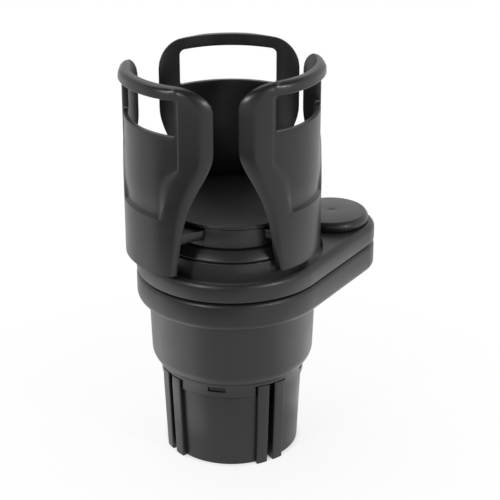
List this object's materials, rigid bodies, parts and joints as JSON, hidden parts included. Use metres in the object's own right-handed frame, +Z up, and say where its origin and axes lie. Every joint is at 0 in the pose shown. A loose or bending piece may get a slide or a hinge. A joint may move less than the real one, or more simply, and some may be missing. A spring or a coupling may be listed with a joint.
{
  "type": "rotating car cup holder",
  "caption": "Expanding car cup holder with a lower well and an upper clawed cup on a plate that swings about a side pivot.",
  "frame": {"origin": "on the axis of the expanding plug, in the plane of its feet", "axes": "+Z up along the plug, +X from the cup's axis to the swing pivot, +Y to the right-hand rule"},
  "size_m": [0.1396, 0.096, 0.2052],
  "materials": {
    "housing_plastic": "satin",
    "segment_plastic": "satin",
    "claw_plastic": "satin",
    "inner_plastic": "matt",
    "cap_plastic": "gloss",
    "steel": "zinc plated",
    "washer_plastic": "natural"
  },
  "bodies": {
    "base": {"base_housing": "housing_plastic", "base_guide_plate": "inner_plastic", "base_cover": "inner_plastic", "base_cover_screws": "steel", "slip_washer": "washer_plastic", "pivot_washer": "steel", "pivot_screw": "steel"},
    "knob": {"base_knob": "inner_plastic"},
    "swing": {"swing_plate": "housing_plastic", "pivot_cap": "cap_plastic", "hub_base": "housing_plastic", "hub_ring": "housing_plastic", "cup_floor": "inner_plastic", "hub_screws": "steel", "rail_spring_back": "steel", "rail_spring_left": "steel", "rail_spring_right": "steel"},
    "segment_back_right": {"base_segment_back_right": "segment_plastic"},
    "segment_back_left": {"base_segment_back_left": "segment_plastic"},
    "segment_front_left": {"base_segment_front_left": "segment_plastic"},
    "segment_front_right": {"base_segment_front_right": "segment_plastic"},
    "claw_back": {"cup_claw_back": "claw_plastic"},
    "claw_left": {"cup_claw_left": "claw_plastic"},
    "claw_right": {"cup_claw_right": "claw_plastic"}
  },
  "joints": [
    {"name": "knob_turn", "type": "hinge", "parent": "base", "child": "knob", "pos_m": [0, 0, 0.0455], "axis": [0, 0, 1], "range_deg": [-23.45, 96.55]},
    {"name": "cup_swing", "type": "hinge", "parent": "base", "child": "swing", "pos_m": [0.0615, 0, 0.098], "axis": [0, 0, 1], "continuous": true},
    {"name": "segment_slide_back_right", "type": "slide", "parent": "base", "child": "segment_back_right", "axis": [0.7071, 0.7071, 0], "range_m": [-0.00171, 0.00701]},
    {"name": "segment_slide_back_left", "type": "slide", "parent": "base", "child": "segment_back_left", "axis": [-0.7071, 0.7071, 0], "range_m": [-0.00171, 0.00701]},
    {"name": "segment_slide_front_left", "type": "slide", "parent": "base", "child": "segment_front_left", "axis": [-0.7071, -0.7071, 0], "range_m": [-0.00171, 0.00701]},
    {"name": "segment_slide_front_right", "type": "slide", "parent": "base", "child": "segment_front_right", "axis": [0.7071, -0.7071, 0], "range_m": [-0.00171, 0.00701]},
    {"name": "claw_slide_back", "type": "slide", "parent": "swing", "child": "claw_back", "axis": [0.5, 0.866, 0], "range_m": [0, 0.012]},
    {"name": "claw_slide_left", "type": "slide", "parent": "swing", "child": "claw_left", "axis": [-1, 0, 0], "range_m": [-0.00984, 0.00216]},
    {"name": "claw_slide_right", "type": "slide", "parent": "swing", "child": "claw_right", "axis": [0.5, -0.866, 0], "range_m": [0, 0.012]}
  ],
  "couplings": [
    {"joint": "segment_slide_back_right", "follows": "knob_turn", "m_per_rad": 0.0041539},
    {"joint": "segment_slide_back_left", "follows": "knob_turn", "m_per_rad": 0.0041539},
    {"joint": "segment_slide_front_left", "follows": "knob_turn", "m_per_rad": 0.0041539},
    {"joint": "segment_slide_front_right", "follows": "knob_turn", "m_per_rad": 0.0041539}
  ]
}
